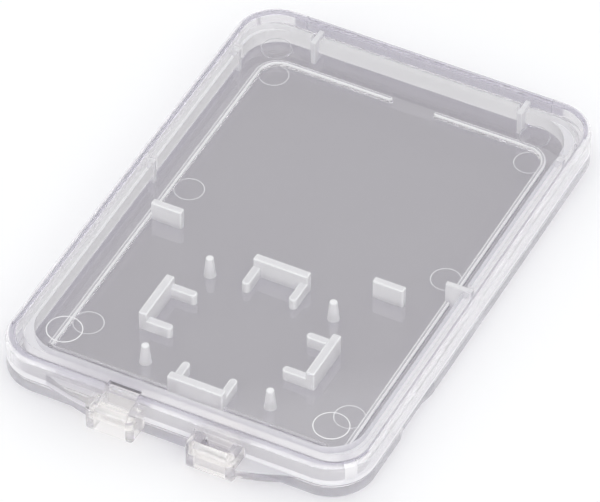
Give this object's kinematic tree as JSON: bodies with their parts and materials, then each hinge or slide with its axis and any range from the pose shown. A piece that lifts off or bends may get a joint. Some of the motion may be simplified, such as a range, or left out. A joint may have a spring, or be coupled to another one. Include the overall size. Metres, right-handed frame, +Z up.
{
  "type": "memory card case",
  "caption": "Flat clear two-part case with a hinged lid, a pocket for a full-size memory card and a bracketed nest with pegs for a small one.",
  "frame": {"origin": "middle of the underside of the whole outline, hinge loops included", "axes": "+Z up through the closed lid, +Y from the hinge to the end that opens, +X to the right seen from the hinge"},
  "size_m": [0.036, 0.0542, 0.0038],
  "materials": {
    "clear_base": "gloss",
    "clear_lid": "gloss"
  },
  "bodies": {
    "base": {"base_tray": "clear_base", "locating_tongue": "clear_base", "frame_bead": "clear_base", "far_rib_left": "clear_base", "far_rib_right": "clear_base", "side_rib_left_near": "clear_base", "side_rib_left_far": "clear_base", "side_rib_right_far": "clear_base", "key_rib": "clear_base", "stop_block_left": "clear_base", "stop_block_right": "clear_base", "bracket_left": "clear_base", "bracket_right": "clear_base", "bracket_near": "clear_base", "bracket_far": "clear_base", "card_pegs": "clear_base", "base_hinge_loop": "clear_base", "base_hinge_hook": "clear_base"},
    "lid": {"lid_shell": "clear_lid", "lid_skirt_near": "clear_lid", "lid_skirt_far": "clear_lid", "lid_hinge_loop": "clear_lid", "lid_hinge_hook": "clear_lid"}
  },
  "joints": [
    {"name": "lid_hinge", "type": "hinge", "parent": "base", "child": "lid", "pos_m": [0, -0.026, 0.00193], "axis": [1, 0, 0], "range_deg": [0, 135]}
  ]
}
